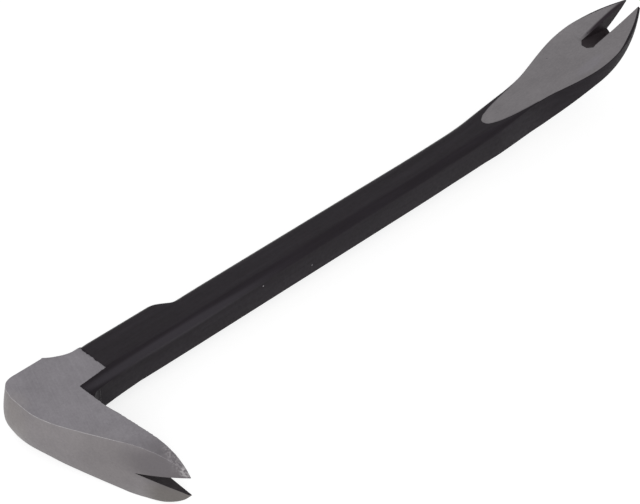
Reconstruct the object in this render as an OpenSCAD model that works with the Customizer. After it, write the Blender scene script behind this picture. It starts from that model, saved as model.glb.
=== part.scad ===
// Claw bar: one octagonal steel bar with a nail claw at each end, lying on its side.
// Bar frame: X runs along the shank from the heel to the far claw, the hook points to -Y,
// and Z = 0 is the middle of the bar's thickness. Sizes are in millimetres.

/* [Bar] */
// Overall length, heel to claw tips
bar_len = 254; // [225:1:320]
// Width of the slim shank, inner side to back
bar_w = 11.2; // [9:0.1:14]
// Thickness of the bar, side flat to side flat
bar_t = 12.4; // [10:0.1:15]
// Size of the chamfers along the bar
bar_chamfer = 1.9; // [1:0.1:2.6]

/* [Shoulder] */
// Shank axis to the back of the shoulder
shoulder_h = 8.9; // [7.5:0.1:10.5]
// Heel to the start of the shoulder's fall
shoulder_end = 53.4; // [46:0.2:66]
// Length over which the shoulder falls to the slim shank
shoulder_fall = 8.2; // [5:0.2:14]

/* [Striking head] */
// Length of the ground head along the bar
head_len = 28; // [25:0.5:34]
// Shank axis to the striking face
strike_h = 12.1; // [11:0.1:15]
// Length of the flat striking face
strike_len = 10; // [6:0.5:12]
// Radius of the heel behind the striking face
heel_r = 8; // [6:0.5:10]
// Edge break along the striking face
strike_edge = 0.9; // [0.4:0.1:1.5]

/* [Hook claw] */
// Shank axis to the hook's tine tips
hook_reach = 49.9; // [42:0.5:62]
// Heel to the hook's inner face
hook_depth = 19.2; // [17:0.2:23]
// Width across the hook where it is widest
hook_w = 18.8; // [16:0.2:24]
// Tine tips back to the widest place
hook_head = 14.8; // [11:0.2:17]
// Lean of the back where it leaves the heel, degrees
hook_lean = 19; // [14:0.5:24]
// Radius of the blend from the heel into the back
heel_blend_r = 24; // [16:1:32]
// Turn of the back from the heel to the tips, degrees
hook_turn = 6; // [2:0.5:10]
// Fillet between the hook and the shank
hook_fillet = 4; // [2:0.5:5]
// Swell of the shank's inner side at the hook
root_flare = 1.2; // [0.5:0.1:2]
// Length of that swell
root_flare_len = 15; // [8:1:24]

/* [Hook nail slot] */
// Width of the slot at the inner face
hook_slot_w = 6.4; // [5.2:0.1:7.6]
// Depth of the slot below the inner face
hook_slot_depth = 6.8; // [5.5:0.1:8]
// Slope of the slot's closed end, degrees
hook_slot_ramp = 28; // [20:1:40]

/* [Straight claw] */
// Width across the claw where it is widest
claw_w = 22.2; // [19:0.2:28]
// Tine tips back to the widest place
claw_head = 23.5; // [20:0.5:27]
// Length over which the claw widens from the shank
claw_spread = 32; // [26:1:40]
// Tine tips back to the end of the bar's gentle bend
claw_bend = 54; // [46:1:62]
// Length of the gentle bend before it
neck_bend = 50; // [38:1:60]
// Radius of the gentle bend
neck_bend_r = 555; // [450:5:800]
// Radius of the claw's own bend
claw_bend_r = 243; // [200:1:320]
// Length over which the middle of the claw thins out
claw_taper = 60; // [52:1:68]
// Length over which the claw's sides thin out
side_taper = 44; // [38:1:52]
// Widening of the neck beside the ground tongue
neck_swell = 0.33; // [0:0.05:0.6]
// Thickness left at the tine tips
claw_tip_t = 0.6; // [0.4:0.1:1]
// Edge break round the claw's face
claw_edge = 0.15; // [0.1:0.05:0.4]

/* [Straight claw nail slot] */
// Width of the slot between the tines
claw_slot_w = 5.8; // [4.8:0.1:6.4]
// Length of the slot
claw_slot_len = 23; // [16:0.5:26]
// Size of the corner chamfers at the slot's closed end
claw_slot_corner = 1.6; // [0.6:0.1:2]
// Fall of the slot's floor towards the tips, against the bar's axis, degrees
claw_slot_slope = 6.5; // [4:0.5:15]

/* [Hidden] */

black_coat = [0.18, 0.17, 0.19];
ground_steel = [0.50, 0.49, 0.50];

half_w = bar_w / 2;
half_t = bar_t / 2;
clear = 40; // reach of a cutter past the bar

// Places along the bar, heel = 0
slim_x = shoulder_end + shoulder_fall;
tip_x = bar_len;
bend_x = tip_x - claw_bend;
neck_x = bend_x - neck_bend;
wide_x = tip_x - claw_head;
spread_x = wide_x - claw_spread;
slot_x = tip_x - claw_slot_len;
blade_x = (spread_x + bend_x) / 2;

// Hook: the back leaves the heel at root_y and ends at the tine tips
root_y = -half_w - root_flare;
root_x = heel_blend_r * (1 - cos(hook_lean));
flare_x = hook_depth + hook_fillet;
slot_bottom_x = hook_depth - hook_slot_depth;
back_chord = [hook_depth, -hook_reach] - [root_x, root_y];
back_r = norm(back_chord) / (2 * sin(hook_turn / 2));
back_dir = atan2(back_chord[1], back_chord[0]);
back_mid = [root_x, root_y] + back_chord / 2;
back_centre = back_mid + back_r * cos(hook_turn / 2) * [cos(back_dir + 90), sin(back_dir + 90)];
slot_open_y = back_centre[1] + sqrt(pow(back_r, 2) - pow(back_centre[0] - slot_bottom_x, 2))
              * sign(root_y - back_centre[1]);

// Hook outline seen from the back: an ellipse round the widest place
hook_half = hook_w / 2;
hook_wide_y = -hook_reach + hook_head;
hook_tip_half = hook_slot_w / 2 + 0.1;
hook_ellipse = hook_head / sqrt(1 - pow(hook_tip_half / hook_half, 2));

// Row frame: origin at the middle of the base of the bar's box
mid_y = (strike_h - hook_reach) / 2;
row_shift = [-bar_len / 2, -mid_y, hook_half];

// Points of an arc from angle a0 to a1
function arc(centre, r, a0, a1, n) =
    [for (i = [0:n]) let (a = a0 + (a1 - a0) * i / n) centre + r * [cos(a), sin(a)]];

// Smooth step from 0 to 1
function ease(u) = let (v = max(0, min(1, u))) v * v * (3 - 2 * v);

// Height of the bar's upper side: straight, then two bends that lift the claw
function rise(x) =
    let (a = max(0, min(neck_bend, x - neck_x)), b = max(0, x - bend_x))
    half_t + a * a / (2 * neck_bend_r) + b * neck_bend / neck_bend_r + b * b / (2 * claw_bend_r);

// Half width of the straight claw
function claw_half(x) =
    x < wide_x ? half_w + (claw_w / 2 - half_w) * ease((x - spread_x) / claw_spread)
                 + neck_swell * ease((x - neck_x - 28) / 10) * (1 - ease((x - bend_x) / 10))
               : claw_w / 2 - (claw_w / 2 - claw_slot_w / 2 - 0.4) * pow((x - wide_x) / claw_head, 2.1);

// Thickness down the middle of the claw, full until the taper starts
function middle_t(x) =
    let (u = min(1, (tip_x - x) / claw_taper))
    max(claw_tip_t, bar_t * pow(1 - pow(1 - u, 2), 0.7));

// Height of the claw's side wall under its face
function side_t(x) =
    let (u = min(1, (tip_x - x) / side_taper), m = ease((x - spread_x - 3.5) / (0.78 * claw_spread)))
    min(0.85 * middle_t(x), (1 - m) * (bar_t - bar_chamfer) + m * bar_t * (0.07 + 0.43 * (1 - pow(1 - u, 2))));

// Underside of the claw: the bar's chamfered flat turning into a crowned belly
function belly(x, y) =
    let (r = min(1, abs(y) / claw_half(x)),
         m = ease((x - spread_x) / (claw_spread / 2)),
         flat = max(0, 1 - (1 - r) * half_w / bar_chamfer),
         shape = (1 - m) * flat + m * r * r)
    rise(x) - middle_t(x) + max(0, middle_t(x) - side_t(x)) * shape;

// Chamfer along the upper edges, dying out where the claw's face is ground
function top_chamfer(x) =
    bar_chamfer + (claw_edge - bar_chamfer) * ease((x - spread_x + 0.83 * claw_spread) / (1.03 * claw_spread));

// One cross-section of the straight claw between y0 and y1, in the order of its outline
function claw_ring(x, y0, y1, chamfer0, chamfer1) =
    let (z = rise(x),
         step = min(bar_chamfer / bar_w, 0.2),
         cuts = [1, 1 - step, 0.67, 0.5, 0.33, step, 0],
         c0 = min(chamfer0, (y1 - y0) / 4, side_t(x) / 2),
         c1 = min(chamfer1, (y1 - y0) / 4, side_t(x) / 2))
    concat([[x, y0, z - c0], [x, y0 + c0, z], [x, y1 - c1, z], [x, y1, z - c1]],
           [for (f = cuts) let (y = y0 + (y1 - y0) * f) [x, y, belly(x, y)]]);

// Solid through a list of rings with equal counts of points
module loft(rings) {
    n = len(rings[0]);
    last = len(rings) - 1;
    points = [for (ring = rings) each ring];
    walls = [for (k = [0:last - 1], i = [0:n - 1])
             let (a = k * n + i, b = k * n + (i + 1) % n)
             each [[a, a + n, b + n], [a, b + n, b]]];
    start_cap = [for (i = [0:n - 1]) i];
    end_cap = [for (i = [n - 1:-1:0]) last * n + i];
    polyhedron(points = points, faces = concat(walls, [start_cap], [end_cap]), convexity = 6);
}

// Cross-section stations between two places along the bar
function stations(x0, x1, step) =
    let (n = ceil((x1 - x0) / step)) [for (i = [0:n]) x0 + (x1 - x0) * i / n];

// Slim octagonal bar section in Y and Z
module bar_section() {
    c = bar_chamfer;
    polygon([[half_w, half_t - c], [half_w - c, half_t], [c - half_w, half_t], [-half_w, half_t - c],
             [-half_w, c - half_t], [c - half_w, -half_t], [half_w - c, -half_t], [half_w, c - half_t]]);
}

// Extrudes a drawing of Y and Z along X
module along_x(x0, x1) {
    translate([x0, 0, 0])
        rotate([90, 0, 90])
            linear_extrude(x1 - x0)
                children();
}

// Extrudes a drawing of X and Y over the full thickness, centred on Z = 0
module through_z(t) {
    translate([0, 0, -t / 2])
        linear_extrude(t)
            children();
}

// Places a piece in the row frame
module placed() {
    translate(row_shift)
        children();
}

// ---- Shank and shoulder ----

module shank() {
    color(black_coat)
        placed()
            along_x(slim_x, neck_x)
                bar_section();
}

// The back of the shoulder and the swollen inner side at the hook
function shoulder_back(x) = shoulder_h + (half_w - shoulder_h) * ease((x - shoulder_end) / shoulder_fall);
function inner_side(x) = -half_w - root_flare * max(0, min(1, 1 - (x - flare_x) / root_flare_len));

function shoulder_ring(x) =
    let (c = bar_chamfer, b = shoulder_back(x), s = inner_side(x))
    [[x, s, half_t - c], [x, s + c, half_t], [x, b - c, half_t], [x, b, half_t - c],
     [x, b, c - half_t], [x, b - c, -half_t], [x, s + c, -half_t], [x, s, c - half_t]];

module shoulder() {
    straight = [head_len, max(flare_x + root_flare_len, head_len + 1)];
    color(black_coat)
        placed()
            loft([for (x = concat(straight, stations(shoulder_end, slim_x, 0.7))) shoulder_ring(x)]);
}

// ---- Striking head ----

module head_outline() {
    saddle_r = 11.5;
    saddle_drop = strike_h - shoulder_h;
    saddle_turn = acos(1 - saddle_drop / saddle_r);
    saddle_x = heel_r + strike_len + saddle_r * sin(saddle_turn);
    blend_y = root_y + heel_blend_r * sin(hook_lean);
    polygon(concat(
        [[head_len, inner_side(head_len)], [head_len, shoulder_h]],
        arc([saddle_x, shoulder_h + saddle_r], saddle_r, -90, -90 - saddle_turn, 12),
        arc([heel_r, strike_h - heel_r], heel_r, 90, 180, 24),
        arc([heel_blend_r, blend_y], heel_blend_r, 180, 180 + hook_lean, 10),
        [[flare_x, root_y]]));
}

module striking_head() {
    c = strike_edge;
    s = inner_side(head_len);
    color(ground_steel)
        placed()
            difference() {
                intersection() {
                    through_z(bar_t)
                        head_outline();
                    along_x(-1, head_len)
                        polygon([[strike_h, half_t - c], [strike_h - c, half_t], [-clear, half_t],
                                 [-clear, -half_t], [strike_h - c, -half_t], [strike_h, c - half_t]]);
                }
                for (side = [-1, 1])
                    along_x(flare_x, head_len + 1)
                        polygon([[s - 2, side * (half_t - bar_chamfer - 2)],
                                 [s - 2, side * (half_t + 1)],
                                 [s + bar_chamfer + 1, side * (half_t + 1)]]);
            }
}

// ---- Hook claw ----

module hook_outline() {
    a0 = atan2(root_y - back_centre[1], root_x - back_centre[0]);
    a1 = atan2(-hook_reach - back_centre[1], hook_depth - back_centre[0]);
    start = a0 < 0 ? a0 + 360 : a0;
    stop = a1 < 0 ? a1 + 360 : a1;
    polygon(concat(
        arc(back_centre, back_r, start, stop, 12),
        arc([flare_x, root_y - hook_fillet], hook_fillet, 180, 90, 8)));
}

// Outline seen from the back, as Y and Z: a straight flare, then the ellipse
module hook_plan() {
    flare = 10;
    tip = acos(-hook_head / hook_ellipse);
    rim = [for (i = [0:20]) let (a = 90 - flare + (tip - 90 + flare) * i / 20)
           [hook_wide_y + hook_ellipse * cos(a), hook_half * sin(a)]];
    upper = concat([[root_y, half_t]], rim);
    lower = [for (i = [len(upper) - 1:-1:0]) [upper[i][0], -upper[i][1]]];
    polygon(concat(upper, lower));
}

// V-shaped cutter: its bottom edge lies on the X axis start and it runs along Y
module nail_groove(length) {
    flank = hook_slot_w / 2 / hook_slot_depth;
    rotate([90, 0, 0])
        linear_extrude(length)
            polygon([[0, 0], [clear, clear * flank], [clear, -clear * flank]]);
}

module hook_slot() {
    translate([slot_bottom_x, slot_open_y, 0]) {
        nail_groove(clear);
        rotate([0, 0, 180 - hook_slot_ramp])
            mirror([1, 0, 0])
                nail_groove(clear);
    }
}

module hook_solid() {
    difference() {
        intersection() {
            through_z(hook_w + 2)
                hook_outline();
            along_x(-1, flare_x + 1)
                hook_plan();
        }
        hook_slot();
    }
}

module hook_part(y0, y1, z0, z1) {
    placed()
        intersection() {
            hook_solid();
            translate([-1, y0, z0])
                cube([clear, y1 - y0, z1 - z0]);
        }
}

module hook_blade() {
    color(ground_steel)
        hook_part(slot_open_y, root_y, -hook_w, hook_w);
}

module hook_tine_upper() {
    color(ground_steel)
        hook_part(-hook_reach - 1, slot_open_y, 0, hook_w);
}

module hook_tine_lower() {
    color(ground_steel)
        hook_part(-hook_reach - 1, slot_open_y, -hook_w, 0);
}

// ---- Straight claw ----

module claw_piece(x0, x1, step) {
    placed()
        loft([for (x = stations(x0, x1, step))
              claw_ring(x, -claw_half(x), claw_half(x), top_chamfer(x), top_chamfer(x))]);
}

// Inner wall of a tine: the slot's side, with the corner chamfer at its closed end
function slot_wall(x) =
    claw_slot_w / 2 - max(0, claw_slot_corner - (x - slot_x));

module claw_tine() {
    stops = concat([slot_x, slot_x + claw_slot_corner], stations(slot_x + claw_slot_corner + 1, tip_x, 1.5));
    loft([for (x = stops) claw_ring(x, slot_wall(x), claw_half(x), 0.05, top_chamfer(x))]);
}

// Floor of the slot: a web between the tines that falls from the face to the underside
function slot_floor(x) = rise(slot_x) - (x - slot_x) * tan(claw_slot_slope);
function web_end(x) = slot_floor(x) - belly(x, 0) < 0.3 || x > tip_x - 3 ? x : web_end(x + 0.25);

function web_ring(x) =
    let (w = slot_wall(x))
    concat([[x, -w, slot_floor(x)], [x, w, slot_floor(x)]],
           [for (f = [1, 0.5, 0]) let (y = w * (2 * f - 1)) [x, y, belly(x, y)]]);

module slot_web() {
    corner_x = slot_x + claw_slot_corner;
    placed()
        loft([for (x = concat([slot_x], stations(corner_x, web_end(corner_x), 2))) web_ring(x)]);
}

module claw_neck() {
    color(black_coat)
        claw_piece(neck_x, blade_x, 2.5);
}

module claw_blade() {
    color(ground_steel)
        union() {
            claw_piece(blade_x, slot_x, 2);
            slot_web();
        }
}

module claw_tine_left() {
    color(ground_steel)
        placed()
            claw_tine();
}

module claw_tine_right() {
    color(ground_steel)
        placed()
            mirror([0, 1, 0])
                claw_tine();
}

shank();
shoulder();
striking_head();
hook_blade();
hook_tine_upper();
hook_tine_lower();
claw_neck();
claw_blade();
claw_tine_left();
claw_tine_right();
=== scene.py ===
import math

import bpy
from mathutils import Matrix, Vector, noise


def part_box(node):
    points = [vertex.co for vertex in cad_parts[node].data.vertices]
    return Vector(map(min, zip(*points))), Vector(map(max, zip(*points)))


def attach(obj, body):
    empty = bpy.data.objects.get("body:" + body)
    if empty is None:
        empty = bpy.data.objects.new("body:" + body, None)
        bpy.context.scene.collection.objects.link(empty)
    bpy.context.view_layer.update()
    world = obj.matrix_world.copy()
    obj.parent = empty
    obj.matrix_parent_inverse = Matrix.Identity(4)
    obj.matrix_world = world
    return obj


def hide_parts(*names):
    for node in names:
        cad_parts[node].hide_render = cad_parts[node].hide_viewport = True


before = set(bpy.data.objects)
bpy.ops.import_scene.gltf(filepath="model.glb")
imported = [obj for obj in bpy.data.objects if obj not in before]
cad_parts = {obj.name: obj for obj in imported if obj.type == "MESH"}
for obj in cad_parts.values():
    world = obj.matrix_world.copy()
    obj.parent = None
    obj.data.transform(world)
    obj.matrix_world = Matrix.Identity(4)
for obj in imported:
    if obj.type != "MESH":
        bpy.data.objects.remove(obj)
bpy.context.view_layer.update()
mm = 0.001

# Sizes are in millimetres along the bar: X from the heel, the hook points to -Y, Z = 0 is mid thickness.
bar = {
    "halfWidth": 5.6,
    "halfThick": 6.2,
    "chamfer": 1.9,
    "cornerRound": 0.5,
    "strikeHeight": 12.1,     # shank axis to the striking face
    "shoulderHeight": 8.9,
}
headLow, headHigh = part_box("striking_head")
barOrigin = Vector((headLow.x, headHigh.y - bar["strikeHeight"] * mm, (headLow.z + headHigh.z) / 2))


def alongBar(point):  # a place of the frame, as millimetres along the bar
    return (Vector(point) - barOrigin) / mm


headEnd = alongBar(headHigh).x
slimStart = alongBar(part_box("shoulder")[1]).x
neckStart = alongBar(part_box("shank")[1]).x
bladeStart = alongBar(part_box("claw_neck")[1]).x
clawSlotEnd = alongBar(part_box("claw_tine_left")[0]).x
barLength = alongBar(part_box("claw_tine_left")[1]).x
hookRoot = alongBar(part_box("hook_blade")[1]).y
hookSplit = alongBar(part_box("hook_blade")[0]).y
hookReach = -alongBar(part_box("hook_tine_upper")[0]).y
print("frame read: bar", round(barLength, 2), "mm long, hook", round(hookReach, 2), "mm deep")


def ease(u):
    v = max(0.0, min(1.0, u))
    return v * v * (3 - 2 * v)


def fade(value, start, end):  # 0 at start, 1 at end
    return max(0.0, min(1.0, (value - start) / (end - start)))


def between(table, at):  # straight-line reading of a table of places and values
    for (place, value), (nextPlace, nextValue) in zip(table, table[1:]):
        if at <= nextPlace:
            return value + (nextValue - value) * fade(at, place, nextPlace)
    return table[-1][1]


def toLinear(hexColour):
    parts = [int(hexColour[i:i + 2], 16) / 255 for i in (1, 3, 5)]
    return [c / 12.92 if c <= 0.04045 else ((c + 0.055) / 1.055) ** 2.4 for c in parts] + [1.0]


def addNode(tree, kind, settings=None, links=None):
    node = tree.nodes.new(kind)
    for name, value in (settings or {}).items():
        if isinstance(name, int) or name in node.inputs:
            node.inputs[name].default_value = value
        else:
            setattr(node, name, value)
    for name, socket in (links or {}).items():
        tree.links.new(socket, node.inputs[name])
    return node


def newMaterial(name):
    made = bpy.data.materials.new(name)
    made.use_nodes = True
    made.node_tree.nodes.clear()
    return made, made.node_tree


steel = {
    "roughness": (0.40, 0.54),
    "blotch": 7.0,          # mm, cloudy patches left by the belt
    "grit": 0.35,           # mm between scratches, coarser than the real 0.1 so that it shows
    "scratchRun": 9.0,      # mm, how far a scratch runs
    "speck": 0.7,           # mm, fine mottling
    "bump": 0.012,          # mm
    "scratchShare": 0.45,   # of the change in tone; cloudy patches make up the rest
    "specular": 0.5,
}
coat = {
    "tone": "#242025",
    "shade": "#1b171b",
    "roughness": (0.42, 0.56),
    "skin": 1.1,            # mm, pimples of the forged skin under the coat
    "streak": (26.0, 1.8),  # mm, drawn-out streaks along the bar
    "bump": 0.02,           # mm
    "specular": 0.1,
    "thickness": 0.05,      # mm
    "edgeBlur": 0.06,       # mm, how sharply coat turns to steel
    "rim": 0.45,            # mm of steel beside the coat painted darker: painted shade of the coat's step
    "rimShare": 0.3,
    "rimTone": "#3a373b",
}
coatBorder = {              # where the coat begins, in mm
    "headStart": 27.9,      # X where the head's coat begins, at Y 0
    "headLean": 0.0507,     # slope of the border across the head
    "headWave": 1.4,
    "headWaveSize": 1.25,
    "tongueStart": 184.2,   # X of the round end of the ground face
    "tongueWave": 0.8,
    "tongueWaveSize": 2.0,
    "tongueHalf": 1.789,    # its half width is this times its run to the power below
    "tonguePower": 0.4,
    "tongueOpens": (19.0, 29.0),  # run over which it widens by the next figure
    "tongueClear": 5.0,
    "tongueBehind": -4.0,   # steepness of its round end
}


def steelPattern(tree, place, tone, shade, angle):
    # belt-ground tool steel: soft grey sheen, cloudy patches, faint scratches along the belt's run
    blotch = addNode(tree, "ShaderNodeTexNoise",
                     {"Scale": 1 / steel["blotch"], "Detail": 4.0, "Roughness": 0.6}, {"Vector": place})
    turned = addNode(tree, "ShaderNodeMapping", {"Rotation": (0, 0, math.radians(angle))},
                     {"Vector": place})
    drawn = (1 / steel["scratchRun"], 1 / steel["grit"], 1 / steel["grit"])
    run = addNode(tree, "ShaderNodeMapping", {"Scale": drawn}, {"Vector": turned.outputs[0]})
    scratch = addNode(tree, "ShaderNodeTexNoise", {"Detail": 3.0, "Roughness": 0.6, "Scale": 1.0},
                      {"Vector": run.outputs[0]})
    speck = addNode(tree, "ShaderNodeTexNoise", {"Scale": 1 / steel["speck"], "Detail": 2.0},
                    {"Vector": place})
    fine = addNode(tree, "ShaderNodeMath", {"operation": "MULTIPLY", 1: steel["scratchShare"]},
                   {0: scratch.outputs[0]})
    cloudy = addNode(tree, "ShaderNodeMath", {"operation": "MULTIPLY_ADD", 1: 1 - steel["scratchShare"]},
                     {0: blotch.outputs[0], 2: fine.outputs[0]})
    mixed = addNode(tree, "ShaderNodeMapRange", {"From Min": 0.35, "From Max": 0.65},
                    {"Value": cloudy.outputs[0]})
    colour = addNode(tree, "ShaderNodeMix", {"data_type": "RGBA", 6: toLinear(shade), 7: toLinear(tone)},
                     {0: mixed.outputs[0]})
    smoothest, roughest = steel["roughness"]
    rough = addNode(tree, "ShaderNodeMapRange",
                    {"From Min": 0.3, "From Max": 0.7, "To Min": smoothest, "To Max": roughest},
                    {"Value": speck.outputs[0]})
    grain = addNode(tree, "ShaderNodeMath", {"operation": "ADD"},
                    {0: scratch.outputs[0], 1: speck.outputs[0]})
    height = addNode(tree, "ShaderNodeMath", {"operation": "MULTIPLY", 1: steel["bump"]},
                     {0: grain.outputs[0]})
    return colour.outputs[2], rough.outputs[0], height.outputs[0]


def coatPattern(tree, place, tone, shade):
    # satin black stoving lacquer over a forged skin: dark, soft sheen, faint lengthwise streaks
    streakRun, streakWidth = coat["streak"]
    run = addNode(tree, "ShaderNodeMapping", {"Scale": (1 / streakRun, 1 / streakWidth, 1 / streakWidth)},
                  {"Vector": place})
    streak = addNode(tree, "ShaderNodeTexNoise", {"Scale": 1.0, "Detail": 4.0, "Roughness": 0.6},
                     {"Vector": run.outputs[0]})
    skin = addNode(tree, "ShaderNodeTexNoise", {"Scale": 1 / coat["skin"], "Detail": 3.0, "Roughness": 0.5},
                   {"Vector": place})
    mixed = addNode(tree, "ShaderNodeMapRange", {"From Min": 0.3, "From Max": 0.7},
                    {"Value": streak.outputs[0]})
    colour = addNode(tree, "ShaderNodeMix", {"data_type": "RGBA", 6: toLinear(shade), 7: toLinear(tone)},
                     {0: mixed.outputs[0]})
    smoothest, roughest = coat["roughness"]
    rough = addNode(tree, "ShaderNodeMapRange",
                    {"From Min": 0.3, "From Max": 0.7, "To Min": smoothest, "To Max": roughest},
                    {"Value": skin.outputs[0]})
    height = addNode(tree, "ShaderNodeMath", {"operation": "MULTIPLY", 1: coat["bump"]},
                     {0: skin.outputs[0]})
    return colour.outputs[2], rough.outputs[0], height.outputs[0]


def paintSpot(tree, place, colour, centre, radius, tone, share=1.0, stretch=(1, 1, 1), speckle=0):
    # one mark with a soft rim; centre and radius in mm along the bar, speckle is its grain in mm
    squeezed = [1 / s for s in stretch]
    gap = addNode(tree, "ShaderNodeVectorMath", {"operation": "SUBTRACT", 1: tuple(centre)}, {0: place})
    scaled = addNode(tree, "ShaderNodeVectorMath", {"operation": "MULTIPLY", 1: squeezed},
                     {0: gap.outputs[0]})
    far = addNode(tree, "ShaderNodeVectorMath", {"operation": "LENGTH"}, {0: scaled.outputs[0]})
    softRim = {"From Min": radius, "From Max": radius * 0.45, "To Max": share,
               "interpolation_type": "SMOOTHSTEP"}
    inside = addNode(tree, "ShaderNodeMapRange", softRim, {"Value": far.outputs["Value"]})
    if speckle:
        grain = addNode(tree, "ShaderNodeTexNoise", {"Scale": 1 / speckle, "Detail": 2.0},
                        {"Vector": place})
        inside = addNode(tree, "ShaderNodeMapRange", {"From Min": 0.42, "From Max": 0.62},
                         {"Value": grain.outputs[0], "To Max": inside.outputs[0]})
    mixed = addNode(tree, "ShaderNodeMix", {"data_type": "RGBA", 7: toLinear(tone)},
                    {0: inside.outputs[0], 6: colour})
    return mixed.outputs[2]


def headBorder(tree, split):
    # coat begins along a slightly leaning, wavy line across the end of the ground head
    waves = addNode(tree, "ShaderNodeTexNoise", {"Scale": 1 / coatBorder["headWaveSize"], "Detail": 2.0},
                    {"Vector": split[3]})
    start = coatBorder["headStart"] + coatBorder["headWave"] / 2
    wavy = addNode(tree, "ShaderNodeMath",
                   {"operation": "MULTIPLY_ADD", 1: coatBorder["headWave"], 2: -start},
                   {0: waves.outputs[0]})
    lean = addNode(tree, "ShaderNodeMath", {"operation": "MULTIPLY_ADD", 1: coatBorder["headLean"]},
                   {0: split[1], 2: wavy.outputs[0]})
    past = addNode(tree, "ShaderNodeMath", {"operation": "ADD"}, {0: split[0], 1: lean.outputs[0]})
    return past.outputs[0]


def tongueBorder(tree, split):
    # the ground face reaches back along the neck as a round-ended tongue
    waves = addNode(tree, "ShaderNodeTexNoise", {"Scale": 1 / coatBorder["tongueWaveSize"], "Detail": 2.0},
                    {"Vector": split[3]})
    start = coatBorder["tongueStart"] + coatBorder["tongueWave"] / 2
    wavy = addNode(tree, "ShaderNodeMath",
                   {"operation": "MULTIPLY_ADD", 1: coatBorder["tongueWave"], 2: -start},
                   {0: waves.outputs[0]})
    run = addNode(tree, "ShaderNodeMath", {"operation": "ADD"}, {0: split[0], 1: wavy.outputs[0]})
    ahead = addNode(tree, "ShaderNodeMath", {"operation": "MAXIMUM", 1: 0.0}, {0: run.outputs[0]})
    power = addNode(tree, "ShaderNodeMath", {"operation": "POWER", 1: coatBorder["tonguePower"]},
                    {0: ahead.outputs[0]})
    opensFrom, opensTo = coatBorder["tongueOpens"]
    opening = addNode(tree, "ShaderNodeMapRange",
                      {"From Min": opensFrom, "From Max": opensTo, "To Max": coatBorder["tongueClear"]},
                      {"Value": run.outputs[0]})
    half = addNode(tree, "ShaderNodeMath", {"operation": "MULTIPLY_ADD", 1: coatBorder["tongueHalf"]},
                   {0: power.outputs[0], 2: opening.outputs[0]})
    away = addNode(tree, "ShaderNodeMath", {"operation": "ABSOLUTE"}, {0: split[1]})
    past = addNode(tree, "ShaderNodeMath", {"operation": "SUBTRACT"},
                   {0: away.outputs[0], 1: half.outputs[0]})
    behind = addNode(tree, "ShaderNodeMath", {"operation": "MULTIPLY", 1: coatBorder["tongueBehind"]},
                     {0: run.outputs[0]})
    outside = addNode(tree, "ShaderNodeMath", {"operation": "MAXIMUM"},
                      {0: past.outputs[0], 1: behind.outputs[0]})
    return outside.outputs[0]


def forgedFinish(name, ground=None, border=None, spots=(), coatTones=(coat["tone"], coat["shade"])):
    # ground: tone, shade, angle of the belt; border: how far a place lies inside the coat, in mm
    made, tree = newMaterial(name)
    local = addNode(tree, "ShaderNodeTexCoord").outputs["Object"]
    toBar = {"Location": tuple(-barOrigin / mm), "Scale": (1 / mm, 1 / mm, 1 / mm)}
    place = addNode(tree, "ShaderNodeMapping", toBar, {"Vector": local}).outputs[0]
    shine = {"Specular IOR Level": coat["specular"]}
    metal = None
    if ground and not border:
        colour, rough, height = steelPattern(tree, place, *ground)
        shine = {"Specular IOR Level": steel["specular"], "Metallic": 1.0}
    elif not ground:
        colour, rough, height = coatPattern(tree, place, *coatTones)
    else:
        axes = addNode(tree, "ShaderNodeSeparateXYZ", None, {0: place})
        inside = border(tree, [axes.outputs[0], axes.outputs[1], axes.outputs[2], place])
        steelColour, steelRough, steelHeight = steelPattern(tree, place, *ground)
        coatColour, coatRough, coatHeight = coatPattern(tree, place, *coatTones)
        share = addNode(tree, "ShaderNodeMapRange",
                        {"From Min": -coat["edgeBlur"], "From Max": coat["edgeBlur"]},
                        {"Value": inside}).outputs[0]
        # painted shade: the steel darkens towards the coat's border, standing in for the shade of the
        # coat's step
        rim = addNode(tree, "ShaderNodeMapRange",
                      {"From Min": -coat["rim"], "From Max": 0.0, "To Max": coat["rimShare"]},
                      {"Value": inside})
        steelColour = addNode(tree, "ShaderNodeMix", {"data_type": "RGBA", 7: toLinear(coat["rimTone"])},
                              {0: rim.outputs[0], 6: steelColour}).outputs[2]
        colour = addNode(tree, "ShaderNodeMix", {"data_type": "RGBA"},
                         {0: share, 6: steelColour, 7: coatColour}).outputs[2]
        rough = addNode(tree, "ShaderNodeMix", None, {0: share, 2: steelRough, 3: coatRough}).outputs[0]
        height = addNode(tree, "ShaderNodeMix", None, {0: share, 2: steelHeight, 3: coatHeight}).outputs[0]
        height = addNode(tree, "ShaderNodeMath", {"operation": "MULTIPLY_ADD", 1: coat["thickness"]},
                         {0: share, 2: height}).outputs[0]
        metal = addNode(tree, "ShaderNodeMath", {"operation": "SUBTRACT", 0: 1.0}, {1: share}).outputs[0]
    for spot in spots:
        colour = paintSpot(tree, place, colour, *spot)
    bump = addNode(tree, "ShaderNodeBump", {"Strength": 1.0, "Distance": mm}, {"Height": height})
    shader = addNode(tree, "ShaderNodeBsdfPrincipled", shine,
                     {"Base Color": colour, "Roughness": rough, "Normal": bump.outputs[0]})
    if metal:
        tree.links.new(metal, shader.inputs["Metallic"])
    addNode(tree, "ShaderNodeOutputMaterial", None, {"Surface": shader.outputs[0]})
    return made


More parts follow.
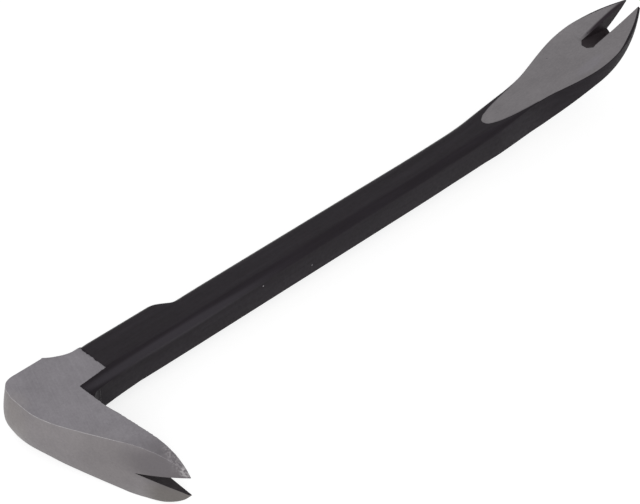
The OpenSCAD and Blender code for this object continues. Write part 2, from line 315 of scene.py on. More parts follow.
hookTones = ("#7a777b", "#706d71", -70)
# the back: belt run more lengthwise, and painted lighter than the side, as painted light on the faces
# turned to -X
backLitTones = ("#8a8687", "#7f7b7d", -82)
clawTones = ("#737072", "#6a6769", 0)
hookSpots = (
    ((2, 3, 0), 9.0, "#8a8581", 0.35, (0.6, 1, 1)),          # warmer, lighter heel
    ((16, -47, -7), 12.0, "#625e58", 0.6, (1.4, 1, 1)),      # duller, warmer lower tine
    ((14, -46, 4.5), 19.0, "#686467", 0.8, (1, 1, 0.45)),    # and the upper one's back
    ((18.8, -43.5, 6.4), 7.0, "#9a9698", 0.55, (0.4, 1, 0.8), 0.6),  # the upper tine's end is worn bright
    ((18.8, -48.2, 4.6), 2.2, "#aaa7a8", 0.8, (1, 1, 1), 0.8),
    ((17, -47.6, 4.4), 0.5, "#3a373a"),
    ((5.4, -15.5, 6.3), 0.35, "#2e2b2e"),                    # nick in the side, painted dark: painted shade of a dent that is not cut
    ((3, -30, 0), 16.0, "#716d6d", 0.3, (1, 1, 1)),
)
coatChipsAndSheen = (
    ((85.4, -5.6, 2.6), 0.35, "#9a989b"),                    # chipped coat, bare steel shows
    ((105.0, -5.6, -1.1), 0.3, "#8a888b"),
    ((50, -5.5, 4.6), 50.0, "#3b383d", 0.6, (1, 0.038, 0.038)),  # painted highlight: a lighter band of sheen along the inner chamfer
)
clawSpots = (
    ((219.9, 5.9, 11.0), 0.3, "#4a474b"),
    ((236.2, 3.4, 14.4), 0.3, "#3a373b"),
    ((245, 2.9, 16.5), 1.6, "#2b262a", 1.0, (10, 1, 5)),     # a dark band painted along one edge of the slot
    ((226, -7, 12.2), 5.0, "#77747a", 0.35, (1.6, 0.5, 1)),
)
blackLacquer = forgedFinish("blackLacquer", spots=coatChipsAndSheen)
# inside the slot and groove: a copy of the coat painted a little lighter, as painted fill light against
# their shade
slotCoatPaintedFill = forgedFinish("slotCoatPaintedFill", coatTones=("#2a2427", "#211c1f"))
edgeSpotsAndHighlights = (
    ((9, -18, 8), 34.0, "#bdbabb", 0.6, (1, 1, 1), 0.7),     # painted highlight: the edge catching the light in specks
    # a second painted highlight, further down the hook
    ((12, -28, 8), 12.0, "#c4c1c2", 0.35, (1, 1, 1), 0),
    hookSpots[1],
)
hookSteel = forgedFinish("groundSteelHook", hookTones, headBorder, hookSpots)
clawSteel = forgedFinish("groundSteelClaw", clawTones, tongueBorder, clawSpots)
backLitSteel = forgedFinish("groundSteelBackPaintedLit", backLitTones, spots=hookSpots)
# the edge bevel's steel: burnished, and painted lighter as a highlight along the edge
edgeSteelPaintedHighlight = forgedFinish("burnishedEdgePaintedHighlight", ("#9d9a9b", "#868385", 0), spots=edgeSpotsAndHighlights)
print("materials made")


studio = {
    "lens": 129.21,          # mm, on a sensor 36 mm wide
    "sensor": 36,
    "cameraPlace": (-0.3731, -0.36175, 0.4591),
    "cameraTilt": 49.057,    # degrees
    "cameraTurn": -43.376,
    "floorTone": "#e6e6e6",  # of the floor that lights the tool
    "floorSeen": 0.35,       # grey of the floor the camera sees, under the glow
    "floorGlow": 0.78,
    "skyLight": 0.55,        # grey of the sky as a light; the camera sees white
    "lamps": (("keyLamp", (-0.75, -0.8, 0.75), 9.0, 1.0), ("fillLamp", (0.2, 1.1, 0.9), 2.0, 1.2)),
}


def seenDirectly(tree):  # 1 for what the camera sees, straight or by a mirror or through glass
    path = addNode(tree, "ShaderNodeLightPath")
    seen = addNode(tree, "ShaderNodeMath", {"operation": "MAXIMUM"},
                   {0: path.outputs["Is Camera Ray"], 1: path.outputs["Is Glossy Ray"]})
    seen = addNode(tree, "ShaderNodeMath", {"operation": "MAXIMUM"},
                   {0: seen.outputs[0], 1: path.outputs["Is Transmission Ray"]})
    return seen.outputs[0]


def makeStage():
    cameraData = bpy.data.cameras.new("camera")
    cameraData.lens = studio["lens"]
    cameraData.sensor_width = studio["sensor"]
    camera = bpy.data.objects.new("camera", cameraData)
    bpy.context.scene.collection.objects.link(camera)
    camera.location = studio["cameraPlace"]
    camera.rotation_euler = (math.radians(studio["cameraTilt"]), 0, math.radians(studio["cameraTurn"]))
    bpy.context.scene.camera = camera
    bpy.context.scene.view_settings.view_transform = "Standard"

    bpy.ops.object.select_all(action="DESELECT")
    bpy.ops.mesh.primitive_plane_add(size=6, location=(0, 0, 0))
    floor = bpy.context.object
    floor.name = "floor"
    made, tree = newMaterial("paleFloor")
    lit = addNode(tree, "ShaderNodeBsdfDiffuse", {"Color": toLinear(studio["floorTone"])})
    shadow = addNode(tree, "ShaderNodeBsdfDiffuse", {"Color": [studio["floorSeen"]] * 3 + [1]})
    glow = addNode(tree, "ShaderNodeEmission", {"Color": (1, 1, 1, 1), "Strength": studio["floorGlow"]})
    both = addNode(tree, "ShaderNodeAddShader", None, {0: shadow.outputs[0], 1: glow.outputs[0]})
    mixed = addNode(tree, "ShaderNodeMixShader", None,
                    {0: seenDirectly(tree), 1: lit.outputs[0], 2: both.outputs[0]})
    addNode(tree, "ShaderNodeOutputMaterial", None, {"Surface": mixed.outputs[0]})
    floor.data.materials.append(made)

    world = bpy.data.worlds.new("studio")
    bpy.context.scene.world = world
    world.use_nodes = True
    tree = world.node_tree
    tree.nodes.clear()
    level = addNode(tree, "ShaderNodeMix",
                    {"data_type": "RGBA", 6: [studio["skyLight"]] * 3 + [1], 7: (1, 1, 1, 1)},
                    {0: seenDirectly(tree)})
    sky = addNode(tree, "ShaderNodeBackground", {"Strength": 1.0}, {"Color": level.outputs[2]})
    addNode(tree, "ShaderNodeOutputWorld", None, {"Surface": sky.outputs[0]})

    for name, place, power, size in studio["lamps"]:
        lampData = bpy.data.lights.new(name, "AREA")
        lampData.energy = power
        lampData.size = size
        lamp = bpy.data.objects.new(name, lampData)
        bpy.context.scene.collection.objects.link(lamp)
        lamp.location = place
        lamp.rotation_euler = (-Vector(place)).to_track_quat("-Z", "Y").to_euler()


makeStage()
print("camera, floor and lamps set")


def clearSelection():
    if bpy.context.mode != "OBJECT":
        bpy.ops.object.mode_set(mode="OBJECT")
    bpy.ops.object.select_all(action="DESELECT")


def workOn(piece):
    clearSelection()
    piece.select_set(True)
    bpy.context.view_layer.objects.active = piece


def drawOutline(name, points):
    # a plane merged to one corner, then that corner extruded from point to point and filled
    clearSelection()
    bpy.ops.mesh.primitive_plane_add(size=1, location=points[0])
    bpy.ops.object.transform_apply(location=True)
    piece = bpy.context.object
    piece.name = piece.data.name = name
    bpy.ops.object.mode_set(mode="EDIT")
    bpy.ops.mesh.select_all(action="SELECT")
    bpy.ops.mesh.merge(type="CENTER")
    for before, point in zip(points, points[1:]):
        step = Vector(point) - Vector(before)
        bpy.ops.mesh.extrude_vertices_move(TRANSFORM_OT_translate={"value": step})
    bpy.ops.mesh.select_all(action="SELECT")
    bpy.ops.mesh.edge_face_add()
    return piece


def sliceAt(places, direction):  # new edge rings across the piece in edit mode
    for place in places:
        bpy.ops.mesh.select_all(action="SELECT")
        bpy.ops.mesh.bisect(plane_co=tuple(Vector(direction) * place), plane_no=direction)


def trim(piece, place, direction, keepBelow=True):  # cuts the piece off at a plane and closes it
    workOn(piece)
    bpy.ops.object.mode_set(mode="EDIT")
    bpy.ops.mesh.select_all(action="SELECT")
    bpy.ops.mesh.bisect(plane_co=tuple(Vector(direction) * place), plane_no=direction, use_fill=True,
                        clear_outer=keepBelow, clear_inner=not keepBelow)
    bpy.ops.object.mode_set(mode="OBJECT")


def copyOf(piece, name):
    workOn(piece)
    bpy.ops.object.duplicate()
    made = bpy.context.object
    made.name = made.data.name = name
    return made


def outwardNormals(piece, near=0.0005):  # also merges points nearer than this, in mm, and closes pinholes
    workOn(piece)
    bpy.ops.object.mode_set(mode="EDIT")
    bpy.ops.mesh.select_all(action="SELECT")
    bpy.ops.mesh.remove_doubles(threshold=near)
    bpy.ops.mesh.dissolve_degenerate(threshold=near)
    bpy.ops.mesh.select_all(action="SELECT")
    bpy.ops.mesh.fill_holes(sides=12)
    bpy.ops.mesh.select_all(action="SELECT")
    bpy.ops.mesh.normals_make_consistent(inside=False)
    bpy.ops.object.mode_set(mode="OBJECT")


def applyModifier(piece, kind, settings):
    workOn(piece)
    added = piece.modifiers.new(kind.lower(), kind)
    for name, value in settings.items():
        setattr(added, name, value)
    bpy.ops.object.modifier_apply(modifier=added.name)


def cutWith(piece, cutter):
    applyModifier(piece, "BOOLEAN", {"operation": "DIFFERENCE", "object": cutter, "solver": "EXACT",
                                     "material_mode": "TRANSFER"})
    bpy.data.objects.remove(cutter)


def setMaterials(piece, materials):
    piece.data.materials.clear()
    for material in materials:
        piece.data.materials.append(material)


def circlePoints(centre, radius, start, end, count):
    angles = [math.radians(start + (end - start) * i / count) for i in range(count + 1)]
    return [(centre[0] + radius * math.cos(a), centre[1] + radius * math.sin(a)) for a in angles]


def finishPiece(piece, node, smoothAngle=32):
    outwardNormals(piece, 0.02)
    piece.data.transform(Matrix.Translation(barOrigin) @ Matrix.Diagonal((mm, mm, mm, 1)))
    workOn(piece)
    bpy.ops.object.shade_smooth_by_angle(angle=math.radians(smoothAngle))
    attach(piece, "root")
    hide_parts(node)


hook = {
    "strikeLength": 10.0,
    "heelRadius": 8.0,
    "saddleRadius": 11.5,
    "strikeChamfer": 0.75,   # along the striking face
    "saddleChamfer": 1.3,    # where the head runs into the coated shoulder
    "groundHalf": 6.12,      # half thickness of the ground head, a hair under the coated bar
    "depth": 19.2,
    "lean": 19.0,
    "blendRadius": 24.0,
    "turn": 6.0,
    "fillet": 4.0,
    "flare": 1.2,
    "flareLength": 15.0,
    "swell": 0.1207,         # slope at which head and hook widen below the heel
    "swellStart": -2,
    "swellRun": 10,          # mm over which that slope sets in
    "ellipseStart": -32.1,   # Y where the hook's rounded outline begins
    "halfWidest": 9.4,
    "headLength": 14.8,
    "ellipseLength": 15.8,
    "crownRadius": 33.0,
    "heelCrown": 14.4,       # the heel is rounder than the hook's back
    "heelStand": 0.5,
    "heelLow": -1.2,
    "heelRound": 0.5,        # and its underside rounder still
    "heelRoundStart": (2, 6),
    "heelRoundEnd": (8, 12),
    "heelBlend": (-14, 2),   # Y over which back turns to heel
    "crownEnd": 5,           # mm below the striking face where the crown dies out
    "skew": 0.38,            # the back is ground a little fuller towards the underside
    "skewStart": (6, 14),
    "tipSkew": 0.6,          # and more at the lower tine
    "tipSkewStart": (38, 43),
    "edgeBevel": 0.85,
    "edgeFade": (22, 33),
    "slotHalf": 3.2,
    "slotBottom": 11.3,      # X of the groove's bottom line
    "slotRamp": 28.0,
    "chamferDown": 2.9,      # foot of the coated chamfer below the side face
    "chamferLine": (28.05, -3.64, 0.0868),   # its border on the side face: a point and the slope
    "chamferTurn": 17.95,    # X where that border turns down the hook
    "chamferMost": 9.0,      # on the upper side; the lower one keeps the bar's own chamfer
    "ragged": 0.2,
}
# how wide that chamfer still is down the hook's inner face: place on Y, width
hookChamfer = [(-43.4, 0.03), (-40, 0.2), (-37, 0.45), (-34, 0.75), (-28, 0.82), (-25, 0.95),
               (-22, 1.03), (-19, 1.23), (-16, 1.46), (-10.8, 1.3)]

filletX = hook["depth"] + hook["fillet"]
rootX = hook["blendRadius"] * (1 - math.cos(math.radians(hook["lean"])))
blendY = hookRoot + hook["blendRadius"] * math.sin(math.radians(hook["lean"]))
rootPoint = Vector((rootX, hookRoot))
tipPoint = Vector((hook["depth"], -hookReach))
chord = tipPoint - rootPoint
backRadius = chord.length / (2 * math.sin(math.radians(hook["turn"] / 2)))
inward = Vector((-chord.y, chord.x)).normalized()
backCentre = rootPoint + chord / 2 + inward * backRadius * math.cos(math.radians(hook["turn"] / 2))
saddleDrop = bar["strikeHeight"] - bar["shoulderHeight"]
saddleTurn = math.degrees(math.acos(1 - saddleDrop / hook["saddleRadius"]))
saddleX = (hook["heelRadius"] + hook["strikeLength"]
           + hook["saddleRadius"] * math.sin(math.radians(saddleTurn)))
saddleCentre = Vector((saddleX, bar["shoulderHeight"] + hook["saddleRadius"]))
heelCentre = Vector((hook["heelRadius"], bar["strikeHeight"] - hook["heelRadius"]))
filletCentre = Vector((filletX, hookRoot - hook["fillet"]))


def innerSide(x):
    return -bar["halfWidth"] - hook["flare"] * max(0.0, min(1.0, 1 - (x - filletX) / hook["flareLength"]))


def backX(y):  # the hook's back on its long arc
    return backCentre.x - math.copysign(math.sqrt(backRadius ** 2 - (y - backCentre.y) ** 2), backCentre.x)


def hookHalf(y):  # half width of the head and hook seen from the back
    slope, run = hook["swell"], hook["swellRun"]
    if y > hook["swellStart"]:
        return hook["groundHalf"]
    s = hook["swellStart"] - y
    if y > hook["ellipseStart"]:
        return hook["groundHalf"] + (slope * s * s / (2 * run) if s < run else slope * (s - run / 2))
    reach = (y + hookReach - hook["headLength"]) / hook["ellipseLength"]
    return hook["halfWidest"] * math.sqrt(max(0.0, 1 - reach * reach))


def crown(y, z, half):  # how far the ground back stands out at a point of it
    share = ease(fade(y, *hook["heelBlend"]))
    out = (1 - share) * (half * half - z * z) / (2 * hook["crownRadius"])
    out += share * (hook["heelStand"] - (z - hook["heelLow"]) ** 2 / (2 * hook["heelCrown"]))
    under = max(0.0, -z / half - 0.5) / 0.5
    rounded = ease(fade(y, *hook["heelRoundStart"]))
    out -= hook["heelRound"] * under ** 2.2 * rounded * (1 - 0.6 * fade(y, *hook["heelRoundEnd"]))
    skewed = hook["skew"] * fade(-y, *hook["skewStart"]) + hook["tipSkew"] * fade(-y, *hook["tipSkewStart"])
    out += skewed * fade(-z, 0, half)
    return out * fade(bar["strikeHeight"] - y, 0, hook["crownEnd"])


stationsY = [10, 8.5, 7, 5.5, 4, 2.5, 1, -0.5, -2, -3, -3.9, -5, -6, -6.4, -7.3, -8, -9, -10.8, -12.5,
             -14.5, -16.5, -18.5, -20.5, -22.5, -24.5, -26.5, -28.5, -30, -31.2, -32.2, -33.2, -34.1,
             -35, -36, -37, -38, -39, -40, -41, -42, -43, -44, -45, -46, -46.8, -47.5, -48.1, -48.6,
             -49, -49.4, -49.65]
zLevels = [0, 0.2, 0.4, 0.55, 0.68, 0.78, 0.86, 0.93, 0.97]


def headOutline():
    points = [(headEnd + 2, bar["shoulderHeight"])]
    points += circlePoints(saddleCentre, hook["saddleRadius"], -90, -90 - saddleTurn, 16)
    points += circlePoints(heelCentre, hook["heelRadius"], 90, 180, 28)
    points += circlePoints((hook["blendRadius"], blendY), hook["blendRadius"], 180, 180 + hook["lean"], 20)
    points += [(backX(y), y) for y in stationsY if y < hookRoot - 0.1]
    points += [tuple(tipPoint)]
    points += [(hook["depth"], y) for y in reversed(stationsY) if y < filletCentre.y - 0.01]
    points += circlePoints(filletCentre, hook["fillet"], 180, 90, 14)
    points += [(headEnd + 2, innerSide(headEnd + 2))]
    return [(x, y, -bar["halfThick"]) for x, y in points]


def shapeHead():
    piece = drawOutline("headForging", headOutline())
    bpy.ops.mesh.extrude_region_move(TRANSFORM_OT_translate={"value": (0, 0, 2 * bar["halfThick"])})
    for level in zLevels:
        sliceAt({bar["halfThick"] * level, -bar["halfThick"] * level}, (0, 0, 1))
    sliceAt(stationsY, (0, 1, 0))
    bpy.ops.object.mode_set(mode="OBJECT")
    outwardNormals(piece)
    setMaterials(piece, [hookSteel, blackLacquer, edgeSteelPaintedHighlight, backLitSteel])
    for face in piece.data.polygons:  # coated: hook's inner face, fillet and the shank's inner side
        inner = face.normal.x > 0.5 and face.center.y < hookRoot and face.center.x > hook["depth"] - 0.5
        under = face.normal.y < -0.5 and face.center.x > hook["depth"] - 0.1
        # faces turned to -X take the back's steel, painted lighter as painted light
        back = face.normal.x < -0.3
        face.material_index = 1 if inner or under else 3 if back else 0
    for vertex in piece.data.vertices:
        x, y, z = vertex.co
        half = hookHalf(y)
        z = z / bar["halfThick"] * half
        onHeel = y > blendY and x < hook["heelRadius"] + 0.001
        onBack = y <= blendY and x < hook["depth"] - 0.02
        outline = onBack and abs(x - (backX(y) if y < hookRoot else x)) < 0.3
        fromCentre = (Vector((x, y)) - heelCentre).length
        onArc = onHeel and abs(fromCentre - hook["heelRadius"]) < 0.05
        if (onHeel or onBack) and (onArc or x < 1.5 or outline):
            way = Vector((-1, 0))
            if onHeel and y > heelCentre.y:
                way = (Vector((x, y)) - heelCentre).normalized()
            x += way.x * crown(y, z, half)
            y += way.y * crown(vertex.co.y, z, half)
        vertex.co = (x, y, z)
    bevelGroundEdges(piece)
    return piece


def bevelGroundEdges(piece):  # burnished thin edge between side and back, dying out towards the tips; its lighter steel is a painted highlight
    weights = piece.data.attributes.new("bevel_weight_edge", "FLOAT", "EDGE")
    facesOf = {}
    for face in piece.data.polygons:
        for key in face.edge_keys:
            facesOf.setdefault(key, []).append(face)
    for edge in piece.data.edges:
        pair = facesOf.get(tuple(sorted(edge.vertices)), [])
        if len(pair) != 2 or any(face.material_index == 1 for face in pair):
            continue
        flat = sorted(abs(face.normal.z) for face in pair)
        first, second = (piece.data.vertices[i].co for i in edge.vertices)
        if flat[0] < 0.75 < flat[1]:
            weights.data[edge.index].value = 1 - 0.8 * fade(-(first.y + second.y) / 2, *hook["edgeFade"])
    applyModifier(piece, "BEVEL", {"width": hook["edgeBevel"], "segments": 3, "limit_method": "WEIGHT",
                                   "material": 2})


def shapeGrooveCutter():
    # V groove seen from the tips: its bottom line runs along Y, its closed end ramps up to the inner face
    flank = hook["slotHalf"] / (hook["depth"] - hook["slotBottom"])
    far = hook["depth"] + 2 - hook["slotBottom"]
    top = hook["slotBottom"] + far
    piece = drawOutline("grooveCutter", [(hook["slotBottom"], -80, 0), (top, -80, far * flank),
                                         (top, -80, -far * flank)])
    bpy.ops.mesh.extrude_region_move(TRANSFORM_OT_translate={"value": (0, 80 + hookSplit, 0)})
    bpy.ops.object.mode_set(mode="OBJECT")
    ramp = math.tan(math.radians(hook["slotRamp"]))
    for vertex in piece.data.vertices:
        if vertex.co.y > -70:
            vertex.co.y = hookSplit + (vertex.co.x - hook["slotBottom"]) / ramp
    outwardNormals(piece)
    setMaterials(piece, [slotCoatPaintedFill])
    return piece


def shapeEdgeCutter(path, direction, material):
    # chamfers an edge: a triangle drawn along it
    # each step is a place, the way into the side face, width and depth
    piece = drawOutline("edgeCutter", [(0, 0, 0), (0, 1, 0), (0, 0, 1)])
    for _ in path[1:]:
        bpy.ops.mesh.extrude_region_move(TRANSFORM_OT_translate={"value": (1, 0, 0)})
    bpy.ops.object.mode_set(mode="OBJECT")
    for vertex in piece.data.vertices:
        x, y, inX, inY, across, down = path[round(vertex.co.x)]
        topZ = hookHalf(y + inY * across)
        footZ = hookHalf(y) - down
        climb = topZ - footZ
        if vertex.co.y > 0.5:    # past the border on the side face
            reach, z = across * 1.5, topZ + climb * 0.5
        elif vertex.co.z > 0.5:  # past the foot
            reach, z = -across * 0.5, footZ - climb * 0.5
        else:                    # out in the open
            reach, z = -across * 0.5 - 0.4, topZ + climb * 0.5 + 0.4
        vertex.co = (x + inX * reach, y + inY * reach, z * direction)
    outwardNormals(piece)
    setMaterials(piece, [material])
    return piece


def innerChamferPath(most):  # along the shank, round the fillet and down the hook until it dies
    lineX, lineY, slope = hook["chamferLine"]
    path = []
    for i in range(31):
        x = headEnd + 3 - (headEnd + 3 - filletX) * i / 31
        across = lineY + slope * (x - lineX) - innerSide(x)
        down = across + (hook["chamferDown"] - across) * fade(x, headEnd, filletX)
        path.append([x, innerSide(x), 0, 1, across, down])
    for i in range(61):
        angle = math.radians(90 + 90 * i / 60)
        way = Vector((math.cos(angle), math.sin(angle)))
        toLine = (lineY + slope * (filletX - lineX) - filletCentre.y) / (way.y - slope * way.x)
        toTurn = (filletX - hook["chamferTurn"]) / max(1e-6, -way.x)
        edge = filletCentre + way * hook["fillet"]
        reach = min(toLine if way.y > 0.05 else 99.0, toTurn)
        path.append([edge.x, edge.y, way.x, way.y, reach - hook["fillet"], hook["chamferDown"]])
    for i in range(1, 60):
        y = filletCentre.y - (filletCentre.y - hookChamfer[0][0]) * i / 59
        across = between(hookChamfer, y)
        path.append([hook["depth"], y, -1, 0, across, across * hook["chamferDown"] / hookChamfer[-1][1]])
    for step, place in enumerate(path):  # ragged border left by the belt
        waver = noise.noise(Vector((step * 0.7, 3.1, 0))) + 0.5 * noise.noise(Vector((step * 1.9, 0, 7)))
        place[4] = max(0.03, place[4] + hook["ragged"] * waver * min(1.0, place[4]))
        place[4:] = [min(most, size) for size in place[4:]]
    return path


def strikeChamferPath():  # from the shoulder over the saddle and along the striking face to the heel
    path = [(headEnd + 3 - i, bar["shoulderHeight"], 0, -1, hook["saddleChamfer"]) for i in range(3)]
    for i in range(17):
        angle = math.radians(-90 - saddleTurn * i / 16)
        way = Vector((math.cos(angle), math.sin(angle)))
        edge = saddleCentre + way * hook["saddleRadius"]
        width = hook["saddleChamfer"] + (hook["strikeChamfer"] - hook["saddleChamfer"]) * min(1.0, i / 9)
        path.append((edge.x, edge.y, way.x, way.y, width))
    for i in range(1, 5):
        x = hook["heelRadius"] + hook["strikeLength"] * (1 - i / 4)
        path.append((x, bar["strikeHeight"], 0, -1, hook["strikeChamfer"]))
    for i in range(1, 19):
        angle = math.radians(90 + 72 * i / 18)
        way = Vector((math.cos(angle), math.sin(angle)))
        edge = heelCentre + way * hook["heelRadius"]
        path.append((edge.x, edge.y, -way.x, -way.y, max(0.03, hook["strikeChamfer"] * (1 - i / 18))))
    return [(x, y, inX, inY, width, width) for x, y, inX, inY, width in path]


def splitHead(whole):
    head = copyOf(whole, "strikingHead")
    trim(head, headEnd, (1, 0, 0))
    trim(head, hookRoot, (0, 1, 0), keepBelow=False)
    blade = copyOf(whole, "hookBlade")
    trim(blade, hookRoot, (0, 1, 0))
    trim(blade, hookSplit, (0, 1, 0), keepBelow=False)
    upper = copyOf(whole, "hookTineUpper")
    trim(upper, hookSplit, (0, 1, 0))
    lower = copyOf(upper, "hookTineLower")
    trim(upper, 0, (0, 0, 1), keepBelow=False)
    trim(lower, 0, (0, 0, 1))
    bpy.data.objects.remove(whole)
    finishPiece(head, "striking_head")
    finishPiece(blade, "hook_blade")
    finishPiece(upper, "hook_tine_upper")
    finishPiece(lower, "hook_tine_lower")


wholeHead = shapeHead()
print("head block shaped", len(wholeHead.data.polygons))
cutWith(wholeHead, shapeGrooveCutter())
for direction in (1, -1):
    widest = hook["chamferMost"] if direction > 0 else bar["chamfer"]
    cutWith(wholeHead, shapeEdgeCutter(innerChamferPath(widest), direction, blackLacquer))
    cutWith(wholeHead, shapeEdgeCutter(strikeChamferPath(), direction, hookSteel))
print("groove and chamfers cut", len(wholeHead.data.polygons))
splitHead(wholeHead)
print("striking head and hook made")

shank = {
    "shoulderEnd": 53.4,
    "headChamfer": 2.78,      # inner chamfer where it leaves the ground head
    "headChamferRun": 12.0,
    "neckRadius": 555.0,
    "clawRadius": 243.0,
    "bend": 54.0,             # from the tips back to the end of the gentle bend
    # the inner side and the back wander a little: place, mm further out
    "innerTaper": [(30, 0), (42, 0.3), (60, 0.27), (90, 0.1), (120, -0.02), (165, -0.3), (184, 0)],
    "backTaper": [(28, 0.05), (31, 0.2), (54, 0.15), (57, -0.2), (59, -0.4), (61, 0), (63, 0.15),
                  (100, 0.2), (165, 0.2), (178, 0.1), (186, 0)],
}
claw = {
    "halfWidest": 11.1,
    "head": 23.5,             # tips back to the widest place
    "spread": 32.0,
    "neckSwell": 0.33,        # the neck widens a little beside the ground tongue
    "neckSwellStart": 28,
    "neckSwellRun": 10,
    "middleTaper": 60.0,
    "sideTaper": 44.0,
    "tipThick": 0.6,
    "edge": 0.15,
    "tipEdge": 0.6,           # the edge break is a little wider along the tines
    "tipShallow": 0.65,       # and leans over more
    "tipEdgeStart": 4,        # mm past the widest place
    "tipEdgeRun": 10,
    "wallShare": 0.65,        # most of the side wall it may take
    "sideShare": 0.85,        # most of the middle's thickness the sides may have
    "sideStart": 3.5,         # mm past the start of the spread where they thin
    "tongueStart": 184.0,
    "tipHalf": 2.9,           # half the slot's width at the tips
    "tineEnd": 0.4,           # width of each tine at its end
    "tineCurve": 2.1,
    "slotHalf": 2.95,         # half the slot's width on the face
    "slotHalfBelow": 2.4,     # and under the claw
    "slotCorner": 1.6,        # its closed end has two cut corners
    "slotFloor": 6.5,         # degrees, fall of the floor, which comes out under the claw
}
bendX = barLength - shank["bend"]
wideX = barLength - claw["head"]
spreadX = wideX - claw["spread"]


def rise(x):
    a = max(0.0, min(bendX - neckStart, x - neckStart))
    b = max(0.0, x - bendX)
    gentle = (bendX - neckStart) / shank["neckRadius"]
    climbed = bar["halfThick"] + a * a / (2 * shank["neckRadius"])
    return climbed + b * gentle + b * b / (2 * shank["clawRadius"])


def clawHalf(x):
    if x < wideX:
        begun = ease((x - neckStart - claw["neckSwellStart"]) / claw["neckSwellRun"])
        swell = claw["neckSwell"] * begun * (1 - ease((x - bendX) / claw["neckSwellRun"]))
        wider = (claw["halfWidest"] - bar["halfWidth"]) * ease((x - spreadX) / claw["spread"])
        return bar["halfWidth"] + swell + wider
    narrowing = claw["halfWidest"] - claw["tipHalf"] - claw["tineEnd"]
    return claw["halfWidest"] - narrowing * ((x - wideX) / claw["head"]) ** claw["tineCurve"]


def middleThick(x):
    u = min(1.0, (barLength - x) / claw["middleTaper"])
    return max(claw["tipThick"], 2 * bar["halfThick"] * (1 - (1 - u) ** 2) ** 0.7)


def sideThick(x):
    u = min(1.0, (barLength - x) / claw["sideTaper"])
    m = ease((x - spreadX - claw["sideStart"]) / (0.78 * claw["spread"]))
    full = 2 * bar["halfThick"]
    thin = full * (0.07 + 0.43 * (1 - (1 - u) ** 2))
    return min(claw["sideShare"] * middleThick(x), (1 - m) * (full - bar["chamfer"]) + m * thin)


def belly(x, y):
    r = min(1.0, abs(y) / clawHalf(x))
    m = ease((x - spreadX) / (claw["spread"] / 2))
    slope = 1 - (1 - r) * bar["halfWidth"] / bar["chamfer"]
    flat = max(0.0, slope)
    if x >= neckStart:  # the same with its corner rounded off
        flat = (slope + math.sqrt(slope * slope + 0.02)) / 2 * (1 if r < 1 else 1 / 1.005)
    shape = (1 - m) * min(1.0, flat) + m * r * r
    return rise(x) - middleThick(x) + max(0.0, middleThick(x) - sideThick(x)) * shape


def topChamfer(x):
    share = ease((x - spreadX + 0.83 * claw["spread"]) / (1.03 * claw["spread"]))
    atTip = ease((x - wideX - claw["tipEdgeStart"]) / claw["tipEdgeRun"])
    return bar["chamfer"] + (claw["edge"] - bar["chamfer"]) * share + claw["tipEdge"] * atTip


def shoulderBack(x):
    fall = slimStart - shank["shoulderEnd"]
    fallen = ease((x - shank["shoulderEnd"]) / fall)
    return bar["shoulderHeight"] + (bar["halfWidth"] - bar["shoulderHeight"]) * fallen


def cornerPoints(before, corner, after, radius, count):
    # a rounded corner of the section: count points on an arc that touches both sides
    a = Vector(before) - Vector(corner)
    b = Vector(after) - Vector(corner)
    run = min(radius, 0.42 * a.length, 0.42 * b.length)
    start, end = Vector(corner) + a.normalized() * run, Vector(corner) + b.normalized() * run
    middle = Vector(corner)
    points = []
    for i in range(count):
        t = i / (count - 1)
        points.append(start * (1 - t) ** 2 + middle * 2 * t * (1 - t) + end * t * t)
    return points


bellyShares = [0.97, 0.9, 0.82, 0.75, 0.7, 0.66, 0.62, 0.57, 0.5, 0.4, 0.27, 0.13, 0.0]


def section(x):
    # one cross-section, Y and Z, round from the inner side over the top to the back and under
    c = topChamfer(x) if x > neckStart else bar["chamfer"]
    low, high = -clawHalf(x), clawHalf(x)
    inner = c
    if x < neckStart:
        low, high = innerSide(x), shoulderBack(x)
        inner = c + (shank["headChamfer"] - c) * (1 - fade(x, headEnd, headEnd + shank["headChamferRun"]))
    top = rise(x)
    foot = top - sideThick(x) if x > neckStart else -bar["halfThick"] + c
    roundness = min(bar["cornerRound"], 0.45 * c)

    def bottom(y):
        if x < neckStart:
            slope = max(0.0, low + c - y, y - high + c)
            return -bar["halfThick"] + slope
        return belly(x, y)

    topLeft, topRight = (low + inner, top), (high - c, top)
    shallow = 1 - claw["tipShallow"] * ease((x - wideX - claw["tipEdgeStart"]) / claw["tipEdgeRun"])
    mostDrop = claw["wallShare"] * (top - foot)
    wallLeft = (low, top - min(inner * shallow, mostDrop))
    wallRight = (high, top - min(c * shallow, mostDrop))
    leftShare = [Vector((low * s, bottom(low * s))) for s in bellyShares]
    rightShare = [Vector((high * s, bottom(high * s))) for s in bellyShares]
    ring = []
    ring += cornerPoints(leftShare[0], (low, foot), wallLeft, roundness * 0.6, 4)
    ring += cornerPoints((low, foot), wallLeft, topLeft, roundness, 4)
    ring += cornerPoints(wallLeft, topLeft, (0, top), roundness, 4)
    ring += [Vector((topLeft[0] + (topRight[0] - topLeft[0]) * t, top)) for t in (0.2, 0.4, 0.6, 0.8)]
    ring += cornerPoints((0, top), topRight, wallRight, roundness, 4)
    ring += cornerPoints(topRight, wallRight, (high, foot), roundness, 4)
    ring += cornerPoints(wallRight, (high, foot), rightShare[0], roundness * 0.6, 4)
    ring += rightShare[:-1]
    ring += list(reversed(leftShare))
    innerWider = between(shank["innerTaper"], x) / -low
    backWider = between(shank["backTaper"], x) / high
    return [(y * (1 + (backWider if y > 0 else innerWider)), z) for y, z in ring]


def spread(start, end, step):
    count = max(1, round((end - start) / step))
    return [start + (end - start) * i / count for i in range(count)]


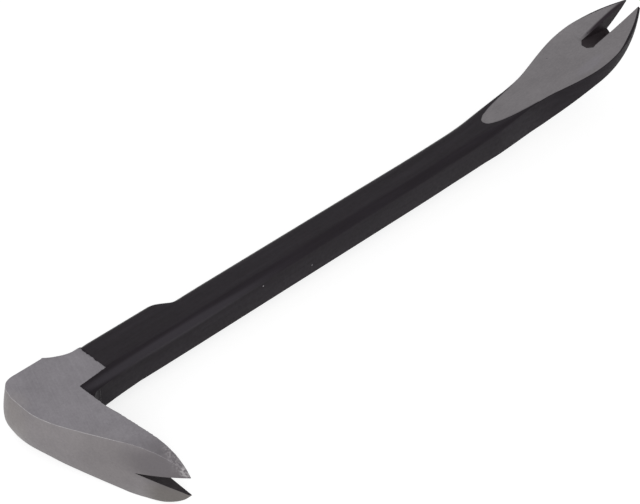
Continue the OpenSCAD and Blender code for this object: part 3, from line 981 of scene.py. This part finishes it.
def clawStations():
    places = [headEnd, headEnd + 3, headEnd + 6, headEnd + 9, headEnd + 12, 46.0]
    places += [filletX + hook["flareLength"]]
    places += spread(shank["shoulderEnd"], slimStart, 0.45) + spread(slimStart, neckStart, 8.0)
    places += spread(neckStart, claw["tongueStart"], 2.0) + spread(claw["tongueStart"], clawSlotEnd, 1.0)
    places += spread(clawSlotEnd, barLength, 0.7) + [barLength]
    return sorted(set(round(p, 3) for p in places))


def shapeBar():
    places = clawStations()
    rings = [section(x) for x in places]
    count = len(rings[0])
    clearSelection()
    bpy.ops.mesh.primitive_circle_add(vertices=count, radius=5, fill_type="NGON",
                                      rotation=(0, math.radians(90), 0))
    piece = bpy.context.object
    piece.name = piece.data.name = "barForging"
    bpy.ops.object.transform_apply(location=True, rotation=True)
    bpy.ops.object.mode_set(mode="EDIT")
    bpy.ops.mesh.select_all(action="SELECT")
    for _ in places[1:]:
        bpy.ops.mesh.extrude_region_move(TRANSFORM_OT_translate={"value": (1, 0, 0)})
    bpy.ops.object.mode_set(mode="OBJECT")
    turn = 2 * math.pi / count
    first = math.atan2(piece.data.vertices[0].co.z, piece.data.vertices[0].co.y)
    setMaterials(piece, [blackLacquer, clawSteel])
    cornerOf = {}
    for vertex in piece.data.vertices:
        step = round(vertex.co.x)
        corner = round((first - math.atan2(vertex.co.z, vertex.co.y)) / turn) % count
        cornerOf[vertex.index] = corner
        vertex.co = (places[step], rings[step][corner][0], rings[step][corner][1])
    for face in piece.data.polygons:  # the claw's face is ground, its walls and belly keep the coat
        corners = {cornerOf[i] for i in face.vertices}
        onFace = len(face.vertices) == 4 and min(corners) >= 10 and max(corners) <= 17
        face.material_index = 1 if onFace and face.center.x > claw["tongueStart"] else 0
    outwardNormals(piece)
    return piece


def shapeSlotCutter():
    # nail slot of the straight claw: narrower below, its closed end sloping down to the underside
    half, corner = claw["slotHalf"], claw["slotCorner"]
    fall = math.tan(math.radians(claw["slotFloor"]))
    faceSlope = rise(clawSlotEnd + 0.5) - rise(clawSlotEnd - 0.5)
    run = corner * (1 + faceSlope / fall)  # the sloping floor shortens the cut corners on the face
    far = barLength + 6
    high = rise(barLength) + 6
    low = rise(clawSlotEnd) - 2.6
    outline = [(clawSlotEnd, half - corner), (clawSlotEnd + run, half), (far, half),
               (far, -half), (clawSlotEnd + run, -half), (clawSlotEnd, -half + corner)]
    piece = drawOutline("slotCutter", [(x, y, high) for x, y in outline])
    bpy.ops.mesh.extrude_region_move(TRANSFORM_OT_translate={"value": (0, 0, low - high)})
    bpy.ops.object.mode_set(mode="OBJECT")
    lean = (half - claw["slotHalfBelow"]) / middleThick(clawSlotEnd)
    for vertex in piece.data.vertices:
        x, y, z = vertex.co
        down = rise(min(x, barLength)) - z
        back = (rise(clawSlotEnd) - z) / fall if x < far - 1 else 0
        vertex.co = (x + back, y - math.copysign(lean * down, y), z)
    outwardNormals(piece)
    setMaterials(piece, [slotCoatPaintedFill])
    return piece


def splitBar(whole):
    marks = (
        ("shoulder", "shoulder", headEnd, slimStart, "black_coat"),
        ("shank", "shank", slimStart, neckStart, "black_coat"),
        ("clawNeck", "claw_neck", neckStart, bladeStart, "black_coat"),
        ("clawBlade", "claw_blade", bladeStart, clawSlotEnd, "ground_steel"),
    )
    for name, node, start, end, slotName in marks:
        piece = copyOf(whole, name)
        trim(piece, end, (1, 0, 0))
        if start > headEnd:
            trim(piece, start, (1, 0, 0), keepBelow=False)
        finishPiece(piece, node)
    left = copyOf(whole, "clawTineLeft")
    trim(left, clawSlotEnd, (1, 0, 0), keepBelow=False)
    right = copyOf(left, "clawTineRight")
    trim(left, 0, (0, 1, 0), keepBelow=False)
    trim(right, 0, (0, 1, 0))
    finishPiece(left, "claw_tine_left")
    finishPiece(right, "claw_tine_right")
    bpy.data.objects.remove(whole)


wholeBar = shapeBar()
print("bar shaped", len(wholeBar.data.polygons))
cutWith(wholeBar, shapeSlotCutter())
splitBar(wholeBar)
print("bar and straight claw made")
